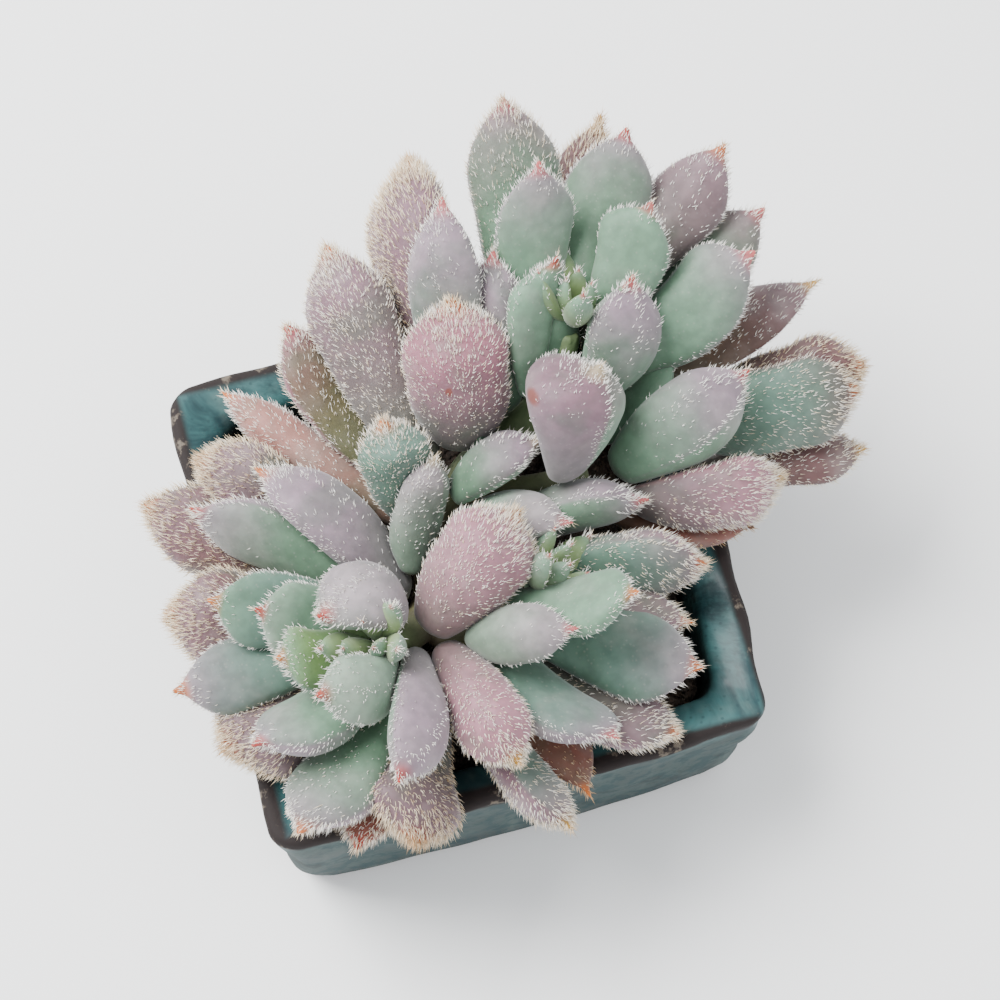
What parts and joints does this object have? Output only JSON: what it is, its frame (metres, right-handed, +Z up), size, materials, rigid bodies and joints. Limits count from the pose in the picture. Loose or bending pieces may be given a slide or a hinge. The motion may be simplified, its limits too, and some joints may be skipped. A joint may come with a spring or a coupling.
{
  "type": "potted succulent",
  "caption": "Hairy plump-leaved succulent with rosettes on a short branched stem, in a square glazed ceramic pot with soil.",
  "frame": {"origin": "centre of the pot's flat underside, where it rests", "axes": "+Z up, out of the pot; -Y towards the side of the pot seen nearest the front, +X to its right"},
  "size_m": [0.1417, 0.1325, 0.0905],
  "materials": {
    "bark": "rough brown green stem skin",
    "glaze": "mottled teal glaze, glossy, with a bare brown band on the rim edge",
    "leaf_dry": "dry red brown, thin hairs",
    "leaf_green": "matte grey green bloom, white hairs on margins and keel",
    "leaf_mauve": "matte mauve back with a green upper face, white hairs",
    "leaf_old": "matte brown mauve, long cream hairs",
    "leaf_pale": "matte pale bloom over grey green, white hairs",
    "leaf_pink": "matte pink, thick white hairs all over",
    "leaf_young": "matte, fresh yellow green, short hairs at the margins",
    "soil": "dark loose potting soil"
  },
  "bodies": {
    "root": {"pot": "glaze", "soil": "soil", "stem": "bark", "heart_a": "leaf_young", "heart_b": "leaf_young", "heart_c": "leaf_young", "leaf_a01": "leaf_mauve", "leaf_a02": "leaf_pale", "leaf_a03": "leaf_green", "leaf_a05": "leaf_green", "leaf_a06": "leaf_green", "leaf_a07": "leaf_mauve", "leaf_a08": "leaf_green", "leaf_a09": "leaf_green", "leaf_a10": "leaf_green", "leaf_a12": "leaf_old", "leaf_a13": "leaf_mauve", "leaf_a14": "leaf_old", "leaf_a15": "leaf_mauve", "leaf_a16": "leaf_green", "leaf_a17": "leaf_mauve", "leaf_a18": "leaf_pink", "leaf_a19": "leaf_dry", "leaf_a20": "leaf_young", "leaf_a22": "leaf_young", "leaf_a23": "leaf_pink", "leaf_a24": "leaf_mauve", "leaf_a25": "leaf_dry", "leaf_a26": "leaf_pink", "leaf_b00": "leaf_old", "leaf_b01": "leaf_old", "leaf_b02": "leaf_green", "leaf_b03": "leaf_mauve", "leaf_b04": "leaf_old", "leaf_b05": "leaf_green", "leaf_b06": "leaf_young", "leaf_b07": "leaf_mauve", "leaf_b08": "leaf_young", "leaf_b10": "leaf_green", "leaf_b11": "leaf_pale", "leaf_b12": "leaf_green", "leaf_b13": "leaf_old", "leaf_b14": "leaf_green", "leaf_b15": "leaf_pale", "leaf_b16": "leaf_old", "leaf_b17": "leaf_dry", "leaf_c01": "leaf_pale", "leaf_c02": "leaf_old", "leaf_c03": "leaf_green", "leaf_c04": "leaf_green", "leaf_c05": "leaf_green", "leaf_c06": "leaf_old", "leaf_c07": "leaf_young", "leaf_c08": "leaf_pale", "leaf_c10": "leaf_green", "leaf_c11": "leaf_green", "leaf_c12": "leaf_old", "leaf_c13": "leaf_mauve", "leaf_c16": "leaf_pink", "leaf_c17": "leaf_pink"}
  },
  "joints": []
}
